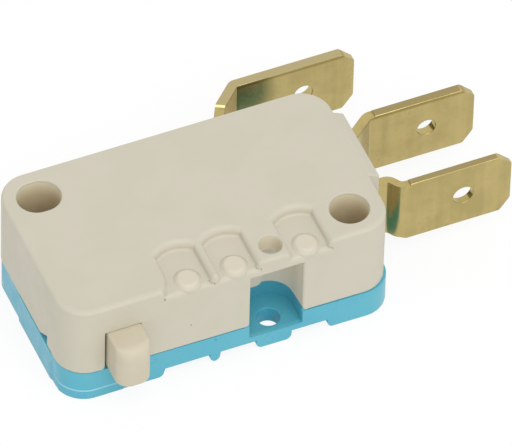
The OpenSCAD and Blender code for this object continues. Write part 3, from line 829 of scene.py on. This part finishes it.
def end_pad():
    """The low pad on the cover's left end, with sloping sides."""
    inner, face, outer = LEFT + SEAM_DEPTH - FIT_GAP, LEFT + COVER_IN, LEFT - PAD_OUT
    front, back = PAD_Y
    pad = [(inner, front - PAD_RAMP), (face, front - PAD_RAMP), (outer, front),
           (outer, back), (face, back + PAD_RAMP), (inner, back + PAD_RAMP)]
    return prism(pad, "z", 0, split_at(LEFT) + SEAM_H - FIT_GAP)


def nick_tongue():
    """The cover's tongue in the sloping cut of the body, set back from the end face."""
    height = NICK_H * TONGUE_SHARE
    low, front = SPLIT_Z - OVER, NICK_Y + TONGUE_GAP
    back = front + height * NICK_L / NICK_H
    tongue = [(front, low), (back, low), (back, SPLIT_Z), (front, SPLIT_Z + height)]
    return prism(tongue, "x", LEFT + TONGUE_BACK, LEFT + WALL / 2 - FIT_GAP)


def make_plunger():
    """The plunger, with its nose in front, its flange behind the wall and the stem on the flange."""
    def inset(depth, r):
        """How far an edge rounded by r is set in, at a depth below its top."""
        return r - math.sqrt(r * r - (r - min(depth, r)) ** 2)

    flange_y = FRONT + WALL + FIT_GAP
    back = flange_y + FLANGE_T
    low, high = PLUNGER_Z
    rings = [(low, PLUNGER_EDGE_R, PLUNGER_EDGE_R), (low + PLUNGER_EDGE_R, 0, 0)]
    for i in range(EDGE_STEPS, -1, -1):
        depth = PLUNGER_NOSE_EDGE_R * (1 - math.cos(math.pi / 2 * i / EDGE_STEPS))
        rings.append((high - depth, inset(depth, PLUNGER_EDGE_R), inset(depth, PLUNGER_NOSE_EDGE_R)))
    plunger = loft([[(x, y, z) for x, y in plunger_outline(a, b, back)] for z, a, b in rings])
    flange = rectangle(PLUNGER_LOW.x, PLUNGER_LOW.z, PLUNGER_HIGH.x, PLUNGER_HIGH.z)
    add(plunger, prism(flange, "y", flange_y, flange_y + FLANGE_T, edge_r=FLANGE_EDGE_R))
    nose_y = PLUNGER_HIGH.y - STEM_R
    stem = arc(STEM_X, nose_y, STEM_R, 0, 180, CORNER_STEPS)
    stem += [(STEM_X - STEM_R, flange_y + FLANGE_T / 2), (STEM_X + STEM_R, flange_y + FLANGE_T / 2)]
    add(plunger, prism(stem, "z", MID_Z - STEM_H / 2, MID_Z + STEM_H / 2))
    return plunger


# Patterns of the materials: scales per metre, and the levels of noise between which they set in
DRIFT_SCALE = 220
DRIFT_LEVELS = (0.35, 0.65)
SPECK_SCALE = 420
SPECK_RADII = (0.02, 0.05)
SPECK_LEVELS = (0.64, 0.68)
UNEVEN_SCALE = 700
GRAIN_SCALE = 5200
GRAIN_SHARE = 0.15
BAND_SCALES = (900, 900, 60)
CLOUD_SCALE = 420
CLOUD_LEVELS = (0.8, 1.25)
STAIN_SCALE = 2600
STAIN_LEVELS = (0.55, 0.8)

# Gloss and relief: scales, spreads of the roughness, and strength and depth in metres of the bumps
GLOSS_LEVELS = (0.3, 0.7)
PLASTIC_GLOSS_SCALE = 900
PLASTIC_GLOSS_SPREAD = 0.06
PLASTIC_SPECULAR = 0.35
PLASTIC_BUMP = (0.25, 0.00012)
METAL_GLOSS_SCALE = 4200
METAL_GLOSS_SPREAD = 0.03
METAL_BUMP = (0.1, 0.00004)

# Painted light and shade in the body: depths under the roof at which they are full and begin, and at
# which a hole has its deep, shaded colour; then how far they reach round the holes, on the posts and in
# the pocket
TINT_FULL = 0.3
TINT_START = 0.06
HOLE_DEEP = 2
HOLE_MOUTH_OVER = 0.1
HOLE_TINT_OUT = 0.03
HOLE_TINT_BLUR = 0.1
PIVOT_TINT_SHARE = 0.6
POST_TINT_SHARE = 0.85
POST_TINT_BLUR = 0.25
POCKET_TINT_R = 2.9
POCKET_TINT_BLUR = 0.3
POCKET_TINT_IN = (0.1, 0.5)
POCKET_TINT_FADE = 0.2

# Painted light and shade in the cover: heights between which the pocket's painted shade sets in, reach
# of the pivot hole's painted light, and blur, reach and fading of the painted highlight along the foot
POCKET_BLUE_Z = (0.9, 1.3)
PIVOT_BLUE_OUT = 0.02
PIVOT_BLUE_BLUR = 0.06
FOOT_LINE_BLUR = 0.03
FOOT_LINE_R = 2
FOOT_LINE_FADE = 2

# Painted reflection and shade on the blades: depths under an edge at which its painted tint begins and
# is full, height of the painted dark line, and the distances along Y over which the two change
EDGE_START = 0.02
EDGE_FULL = 0.005
EDGE_FADE_Y = 1
EDGE_LINE_H = 0.35
EDGE_LINE_FADE_Y = 2


def in_frame(x, y):
    """A place in the plane of the underside, given in millimetres, in the frame."""
    return CASE_MIDDLE + Vector((x, y, 0)) * MM


def srgb(r, g, b):
    """A colour given as 0 to 255 on screen, as linear light."""
    def linear(c):
        c = c / 255
        return c / 12.92 if c <= 0.04045 else ((c + 0.055) / 1.055) ** 2.4
    return (linear(r), linear(g), linear(b), 1)


class Nodes:
    """A material's node tree, with short ways to add nodes."""

    def __init__(self, name):
        self.material = bpy.data.materials.new(name)
        self.material.use_nodes = True
        self.tree = self.material.node_tree
        self.shader = self.tree.nodes["Principled BSDF"]
        self.place = self.node("ShaderNodeTexCoord").outputs["Object"]

    def node(self, kind, inputs=None, **settings):
        """A new node with its settings, and with sockets linked or values set on its inputs."""
        made = self.tree.nodes.new(kind)
        for key, value in settings.items():
            setattr(made, key, value)
        for key, source in (inputs or {}).items():
            self.link(source, made.inputs[key])
        return made

    def link(self, source, target):
        if hasattr(source, "is_output"):
            self.tree.links.new(source, target)
        else:
            target.default_value = source

    def scaled(self, x, y, z):
        inputs = {"Vector": self.place, "Scale": (x, y, z)}
        return self.node("ShaderNodeMapping", inputs).outputs["Vector"]

    def noise(self, scale, detail=2, vector=None):
        inputs = {"Vector": vector or self.place, "Scale": scale, "Detail": detail}
        return self.node("ShaderNodeTexNoise", inputs).outputs["Fac"]

    def ramp(self, value, low, high, start=0, end=1):
        """Goes smoothly from start to end as the value goes from low to high."""
        inputs = {"Value": value, "From Min": low, "From Max": high, "To Min": start, "To Max": end}
        made = self.node("ShaderNodeMapRange", inputs, interpolation_type="SMOOTHSTEP")
        return made.outputs["Result"]

    def math(self, operation, a, b):
        return self.node("ShaderNodeMath", {0: a, 1: b}, operation=operation).outputs["Value"]

    def along(self, axis):
        return self.node("ShaderNodeSeparateXYZ", {"Vector": self.place}).outputs[axis]

    def within(self, centre, r, blur):
        """1 within a radius of an upright axis, 0 outside it."""
        points = {0: self.scaled(1, 1, 0), 1: (centre.x, centre.y, 0)}
        made = self.node("ShaderNodeVectorMath", points, operation="DISTANCE")
        return self.ramp(made.outputs["Value"], r, r + blur, start=1, end=0)

    def mix(self, fac, a, b):
        inputs = {"Factor": fac, "A": a, "B": b}
        return self.node("ShaderNodeMix", inputs, data_type="RGBA").outputs["Result"]

    def bump(self, height, strength, distance):
        inputs = {"Strength": strength, "Distance": distance, "Height": height}
        made = self.node("ShaderNodeBump", inputs)
        self.link(made.outputs["Normal"], self.shader.inputs["Normal"])

    def set(self, name, value):
        self.link(value, self.shader.inputs[name])


def uneven_gloss(nodes, scale, roughness, spread):
    """Roughness that varies a little over the surface."""
    gloss = nodes.ramp(nodes.noise(scale), *GLOSS_LEVELS, roughness - spread, roughness + spread)
    nodes.set("Roughness", gloss)


def plastic(name, colour, warm, speck, roughness, tint=None):
    """Moulded plastic: a slow drift of colour, a few specks, faint unevenness and a fine grain."""
    nodes = Nodes(name)
    drift = nodes.ramp(nodes.noise(DRIFT_SCALE, detail=3), *DRIFT_LEVELS)
    shade = nodes.mix(drift, colour, warm)
    cells = nodes.node("ShaderNodeTexVoronoi", {"Vector": nodes.place, "Scale": SPECK_SCALE})
    spot = nodes.ramp(cells.outputs["Distance"], *SPECK_RADII, start=1, end=0)
    rare = nodes.ramp(cells.outputs["Color"], *SPECK_LEVELS)
    shade = nodes.mix(nodes.math("MULTIPLY", spot, rare), shade, speck)
    if tint:
        shade = tint(nodes, shade)
    nodes.set("Base Color", shade)
    uneven_gloss(nodes, PLASTIC_GLOSS_SCALE, roughness, PLASTIC_GLOSS_SPREAD)
    nodes.set("Specular IOR Level", PLASTIC_SPECULAR)
    grain = nodes.math("MULTIPLY", nodes.noise(GRAIN_SCALE, detail=3), GRAIN_SHARE)
    nodes.bump(nodes.math("ADD", nodes.noise(UNEVEN_SCALE), grain), *PLASTIC_BUMP)
    return nodes.material


def in_pocket(nodes):
    """1 behind the mouth of the pocket, 0 round it."""
    front_y = CASE_MIDDLE.y + FRONT * MM
    start, full = POCKET_TINT_IN
    behind = nodes.ramp(nodes.along("Y"), front_y + start * MM, front_y + full * MM)
    near = nodes.within(in_frame(POCKET_X, POCKET_Y), POCKET_TINT_R * MM, POCKET_TINT_BLUR * MM)
    return nodes.math("MULTIPLY", near, behind)


def painted_body_light_and_shade(nodes, shade):
    """Painted light and shade: holes lighter at the mouth, browner deeper in; posts and pocket lighter.
    """
    height = nodes.along("Z")
    below = nodes.ramp(height, (CASE_H - TINT_FULL) * MM, (CASE_H - TINT_START) * MM, start=1, end=0)
    to_mouth = nodes.ramp(height, (CASE_H - HOLE_DEEP) * MM, (CASE_H + HOLE_MOUTH_OVER) * MM)
    # Painted light at a hole's mouth, going over to painted shade further down
    warm = nodes.mix(to_mouth, PAINTED_HOLE_DEEP_SHADE, PAINTED_HOLE_MOUTH_LIGHT)
    holes = (
        (HOLE_X, -HOLE_Y, HOLE_R, 1),
        (-HOLE_X, HOLE_Y, HOLE_R + SLOT_PLAY / 2, 1),
        (POCKET_X, PIVOT_Y, PIVOT_R, PIVOT_TINT_SHARE),
    )
    for x, y, r, share in holes:
        near = nodes.within(in_frame(x, y), (r + HOLE_TINT_OUT) * MM, HOLE_TINT_BLUR * MM)
        inside = nodes.math("MULTIPLY", near, share)
        shade = nodes.mix(nodes.math("MULTIPLY", inside, below), shade, warm)
    # Painted light on the tops of the posts
    for x in SEATS_X:
        post_light_mask = nodes.within(in_frame(x, POST_Y), POST_TINT_SHARE * POST_R * MM, POST_TINT_BLUR * MM)
        shade = nodes.mix(nodes.math("MULTIPLY", post_light_mask, below), shade, PAINTED_POST_LIGHT)
    # Painted light inside the pocket, under the roof
    under_roof = nodes.ramp(height, ROOF_Z * MM, (ROOF_Z + POCKET_TINT_FADE) * MM, start=1, end=0)
    return nodes.mix(nodes.math("MULTIPLY", in_pocket(nodes), under_roof), shade, PAINTED_POCKET_LIGHT)


def painted_cover_light_and_shade(nodes, shade):
    """Painted shade: deeper blue in the pocket; painted light: clearer blue in the pivot hole and a
    lighter line, a painted highlight, along the foot.
    """
    height = nodes.along("Z")
    low, high = POCKET_BLUE_Z
    deep = nodes.ramp(height, low * MM, high * MM)
    # Painted shade in the pocket, from the foot's height upwards
    shade = nodes.mix(nodes.math("MULTIPLY", in_pocket(nodes), deep), shade, PAINTED_POCKET_SHADE_BLUE)
    pivot = in_frame(POCKET_X, PIVOT_Y)
    pivot_light_mask = nodes.within(pivot, (PIVOT_R + PIVOT_BLUE_OUT) * MM, PIVOT_BLUE_BLUR * MM)
    # Painted light in the pivot hole
    shade = nodes.mix(pivot_light_mask, shade, PAINTED_PIVOT_LIGHT_BLUE)
    # Painted highlight as a lighter line along the top of the foot, round the front left corner
    line_top = FOOT_H + FOOT_EDGE_H
    above = nodes.ramp(height, (FOOT_H - FOOT_LINE_BLUR) * MM, FOOT_H * MM)
    below = nodes.ramp(height, line_top * MM, (line_top + FOOT_LINE_BLUR) * MM, start=1, end=0)
    corner = in_frame(LEFT + CORNER_R, FRONT + CORNER_R / 2)
    near = nodes.within(corner, FOOT_LINE_R * MM, FOOT_LINE_FADE * MM)
    line = nodes.math("MULTIPLY", nodes.math("MULTIPLY", above, below), near)
    return nodes.mix(line, shade, PAINTED_FOOT_HIGHLIGHT)


def painted_edge_light_and_shade(nodes, shade):
    """Painted reflection on the upper edges, and a painted shade line under those of the two at the
    back.
    """
    height, depth = nodes.along("Z"), nodes.along("Y")
    top = MID_Z + TAB_W / 2
    back_y = CASE_MIDDLE.y + BACK * MM
    outside = nodes.ramp(depth, back_y, back_y + EDGE_FADE_Y * MM)
    # Painted reflection: darker on the upper edges of the blades at the right end, lighter on the
    # common blade outside the back
    edge = nodes.mix(outside, PAINTED_EDGE_SHADE, PAINTED_COMMON_EDGE_LIGHT)
    at_top = nodes.ramp(height, (top - EDGE_START) * MM, (top - EDGE_FULL) * MM)
    shade = nodes.mix(at_top, shade, edge)
    # Painted shade as a dark line under the rounded upper edge
    line_z = top - TAB_EDGE_R
    below = nodes.ramp(height, (line_z - EDGE_LINE_H) * MM, line_z * MM)
    face = nodes.ramp(height, (line_z - EDGE_START) * MM, (line_z - EDGE_FULL) * MM, start=1, end=0)
    behind = nodes.ramp(depth, CASE_MIDDLE.y, CASE_MIDDLE.y + EDGE_LINE_FADE_Y * MM)
    line = nodes.math("MULTIPLY", nodes.math("MULTIPLY", below, face), behind)
    return nodes.mix(line, shade, PAINTED_EDGE_LINE_SHADE)


def metal(name, colour, dark, roughness, tint=None):
    """Rolled metal: faint upright bands, soft clouds, small stains and an uneven gloss."""
    nodes = Nodes(name)
    bands = nodes.noise(1, vector=nodes.scaled(*BAND_SCALES))
    cloud = nodes.noise(CLOUD_SCALE, detail=3)
    shade = nodes.mix(nodes.ramp(nodes.math("ADD", bands, cloud), *CLOUD_LEVELS), colour, dark)
    stain = nodes.ramp(nodes.noise(STAIN_SCALE, detail=3), *STAIN_LEVELS)
    shade = nodes.mix(stain, shade, dark)
    if tint:
        shade = tint(nodes, shade)
    nodes.set("Base Color", shade)
    nodes.set("Metallic", 1.0)
    uneven_gloss(nodes, METAL_GLOSS_SCALE, roughness, METAL_GLOSS_SPREAD)
    nodes.bump(bands, *METAL_BUMP)
    return nodes.material


# Painted light at the holes' mouths and painted shade deep in them
PAINTED_HOLE_MOUTH_LIGHT = srgb(246, 237, 208)
PAINTED_HOLE_DEEP_SHADE = srgb(213, 198, 166)
# Painted light on the posts and in the pocket
PAINTED_POST_LIGHT = srgb(219, 211, 191)
PAINTED_POCKET_LIGHT = srgb(233, 223, 204)
# Painted shade in the pocket, painted light in the pivot hole and a painted highlight along the foot
PAINTED_POCKET_SHADE_BLUE = srgb(84, 173, 195)
PAINTED_PIVOT_LIGHT_BLUE = srgb(72, 182, 208)
PAINTED_FOOT_HIGHLIGHT = srgb(152, 213, 229)
# Painted reflections on the blades' upper edges, and painted shade under them
PAINTED_EDGE_SHADE = srgb(164, 147, 101)
PAINTED_COMMON_EDGE_LIGHT = srgb(186, 171, 127)
PAINTED_EDGE_LINE_SHADE = srgb(146, 130, 71)

CREAM = plastic(
    "cream_plastic", colour=srgb(212, 205, 188), warm=srgb(209, 204, 185), speck=srgb(142, 134, 118),
    roughness=0.5, tint=painted_body_light_and_shade,
)
BLUE = plastic(
    "blue_plastic", colour=srgb(94, 183, 206), warm=srgb(99, 187, 206), speck=srgb(70, 130, 150),
    roughness=0.33, tint=painted_cover_light_and_shade,
)
IVORY = plastic(
    "ivory_plastic", colour=srgb(212, 203, 181), warm=srgb(209, 199, 174), speck=srgb(160, 148, 126),
    roughness=0.45,
)
BRASS = metal(
    "brass", colour=srgb(192, 174, 116), dark=srgb(177, 161, 105), roughness=0.22, tint=painted_edge_light_and_shade,
)
SILVER = metal("silver", colour=srgb(205, 204, 198), dark=srgb(184, 182, 176), roughness=0.3)
COPPER = metal("copper_alloy", colour=srgb(196, 140, 92), dark=srgb(176, 118, 74), roughness=0.32)
STEEL = metal("spring_steel", colour=srgb(176, 178, 180), dark=srgb(150, 152, 156), roughness=0.28)

# Finishing: points nearer than this are joined, edges sharper than this stay sharp, and large faces
# lead the shading round rounded edges
WELD = 0.0005
SHARP_DEG = 35
FACE_WEIGHT = 100


def finish_piece(solid, name, node, body, material):
    mesh = solid.data
    shell = bmesh.new()
    shell.from_mesh(mesh)
    bmesh.ops.remove_doubles(shell, verts=shell.verts, dist=WELD)
    for face in shell.faces:
        face.smooth = True
    shell.to_mesh(mesh)
    shell.free()
    mesh.set_sharp_from_angle(angle=math.radians(SHARP_DEG))
    mesh.transform(Matrix.Translation(CASE_MIDDLE) @ Matrix.Scale(MM, 4))
    normals = solid.modifiers.new("weighted_normals", "WEIGHTED_NORMAL")
    normals.keep_sharp = True
    normals.weight = FACE_WEIGHT
    solid.name = mesh.name = name
    mesh.materials.clear()
    mesh.materials.append(material)
    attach(solid, body)
    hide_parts(node)


finish_piece(make_body(), "moulded_body", "case_body", "case", CREAM)
finish_piece(make_cover(), "moulded_cover", "case_cover", "case", BLUE)
finish_piece(make_plunger(), "push_plunger", "plunger", "plunger", IVORY)
finish_piece(make_end_blade(NC), "blade_normally_closed", NC["node"], "case", BRASS)
finish_piece(make_end_blade(NO), "blade_normally_open", NO["node"], "case", BRASS)
finish_piece(make_common(), "blade_common", COMMON["node"], "case", BRASS)

CAD_MATERIALS = {
    "normally_open_contact": SILVER, "normally_closed_contact": SILVER, "moving_contact": SILVER,
    "moving_arm": COPPER, "snap_spring": STEEL, "lever_pin": STEEL, "actuating_lever": IVORY,
}
for node, material in CAD_MATERIALS.items():
    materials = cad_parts[node].data.materials
    materials.clear()
    materials.append(material)

# Camera, at the photograph's viewing angle
IMAGE_WIDTH = 512
SENSOR_WIDTH = 36
FOCAL_PX = 10086.66
CAMERA_TARGET = Vector((5.5426, 0.3292, 5.0))
CAMERA_AZIMUTH = math.radians(-24.1794)
CAMERA_ELEVATION = math.radians(47.9052)
CAMERA_ROLL = math.radians(1.6305)
CAMERA_DISTANCE = 0.8
CLIP_START = 0.01
CLIP_END = 10


def make_camera():
    data = bpy.data.cameras.new("camera")
    camera = bpy.data.objects.new("camera", data)
    bpy.context.scene.collection.objects.link(camera)
    data.sensor_width = SENSOR_WIDTH
    data.lens = FOCAL_PX * SENSOR_WIDTH / IMAGE_WIDTH
    data.clip_start = CLIP_START
    data.clip_end = CLIP_END
    level = math.cos(CAMERA_ELEVATION)
    back = Vector((
        math.sin(CAMERA_AZIMUTH) * level,
        -math.cos(CAMERA_AZIMUTH) * level,
        math.sin(CAMERA_ELEVATION),
    ))
    turn = back.to_track_quat("Z", "Y").to_matrix() @ Matrix.Rotation(CAMERA_ROLL, 3, "Z")
    place = CASE_MIDDLE + CAMERA_TARGET * MM + back * CAMERA_DISTANCE
    camera.matrix_world = Matrix.Translation(place) @ turn.to_4x4()
    bpy.context.scene.camera = camera


make_camera()

# Floor and light. The floor and the world look white, and light the part at a lower strength
FLOOR_HALF = 1.5
FLOOR_DROP = 0.02 * MM
FLOOR_SCALE = 40
FLOOR_GREY = (0.86, 0.86, 0.86, 1)
FLOOR_PALE = (0.9, 0.9, 0.9, 1)
FLOOR_ROUGHNESS = 0.9
FLOOR_WHITE = 1.03
FLOOR_WHITE_SHARE = 0.85
WORLD_STRENGTH = 0.67
SUN_STRENGTH = 1.15
SUN_FROM = Vector((0.0, -0.57, 0.82))
SUN_ANGLE = math.radians(50)


def seen_rays(tree):
    """1 for rays of the camera, of reflections and through glass, 0 for light that falls on things."""
    rays = tree.nodes.new("ShaderNodeLightPath")
    seen = rays.outputs["Is Camera Ray"]
    for kind in ("Is Glossy Ray", "Is Transmission Ray"):
        either = tree.nodes.new("ShaderNodeMath")
        either.operation = "MAXIMUM"
        tree.links.new(seen, either.inputs[0])
        tree.links.new(rays.outputs[kind], either.inputs[1])
        seen = either.outputs["Value"]
    return seen


def mix_shaders(tree, share, first, second, output):
    mixed = tree.nodes.new("ShaderNodeMixShader")
    tree.links.new(share, mixed.inputs["Fac"])
    tree.links.new(first, mixed.inputs[1])
    tree.links.new(second, mixed.inputs[2])
    tree.links.new(mixed.outputs["Shader"], output)


def make_floor():
    mesh = bpy.data.meshes.new("floor")
    corners = rectangle(-FLOOR_HALF, -FLOOR_HALF, FLOOR_HALF, FLOOR_HALF)
    mesh.from_pydata([(x, y, -FLOOR_DROP) for x, y in corners], [], [(0, 1, 2, 3)])
    floor = bpy.data.objects.new("floor", mesh)
    bpy.context.scene.collection.objects.link(floor)
    nodes = Nodes("pale_floor")
    nodes.set("Base Color", nodes.mix(nodes.noise(FLOOR_SCALE), FLOOR_GREY, FLOOR_PALE))
    nodes.set("Roughness", FLOOR_ROUGHNESS)
    white = nodes.node("ShaderNodeEmission", {"Strength": FLOOR_WHITE})
    share = nodes.math("MULTIPLY", seen_rays(nodes.tree), FLOOR_WHITE_SHARE)
    output = nodes.tree.nodes["Material Output"].inputs["Surface"]
    mix_shaders(nodes.tree, share, nodes.shader.outputs["BSDF"], white.outputs["Emission"], output)
    mesh.materials.append(nodes.material)


def make_light():
    world = bpy.data.worlds.new("studio")
    world.use_nodes = True
    tree = world.node_tree
    light = tree.nodes["Background"]
    white = tree.nodes.new("ShaderNodeBackground")
    for background, strength in ((light, WORLD_STRENGTH), (white, 1)):
        background.inputs["Color"].default_value = (1, 1, 1, 1)
        background.inputs["Strength"].default_value = strength
    output = tree.nodes["World Output"].inputs["Surface"]
    mix_shaders(tree, seen_rays(tree), light.outputs["Background"], white.outputs["Background"], output)
    bpy.context.scene.world = world
    data = bpy.data.lights.new("sun", "SUN")
    data.energy = SUN_STRENGTH
    data.angle = SUN_ANGLE
    sun = bpy.data.objects.new("sun", data)
    bpy.context.scene.collection.objects.link(sun)
    sun.rotation_mode = "QUATERNION"
    sun.rotation_quaternion = SUN_FROM.to_track_quat("Z", "Y")


make_floor()
make_light()
bpy.context.scene.view_settings.view_transform = "Standard"
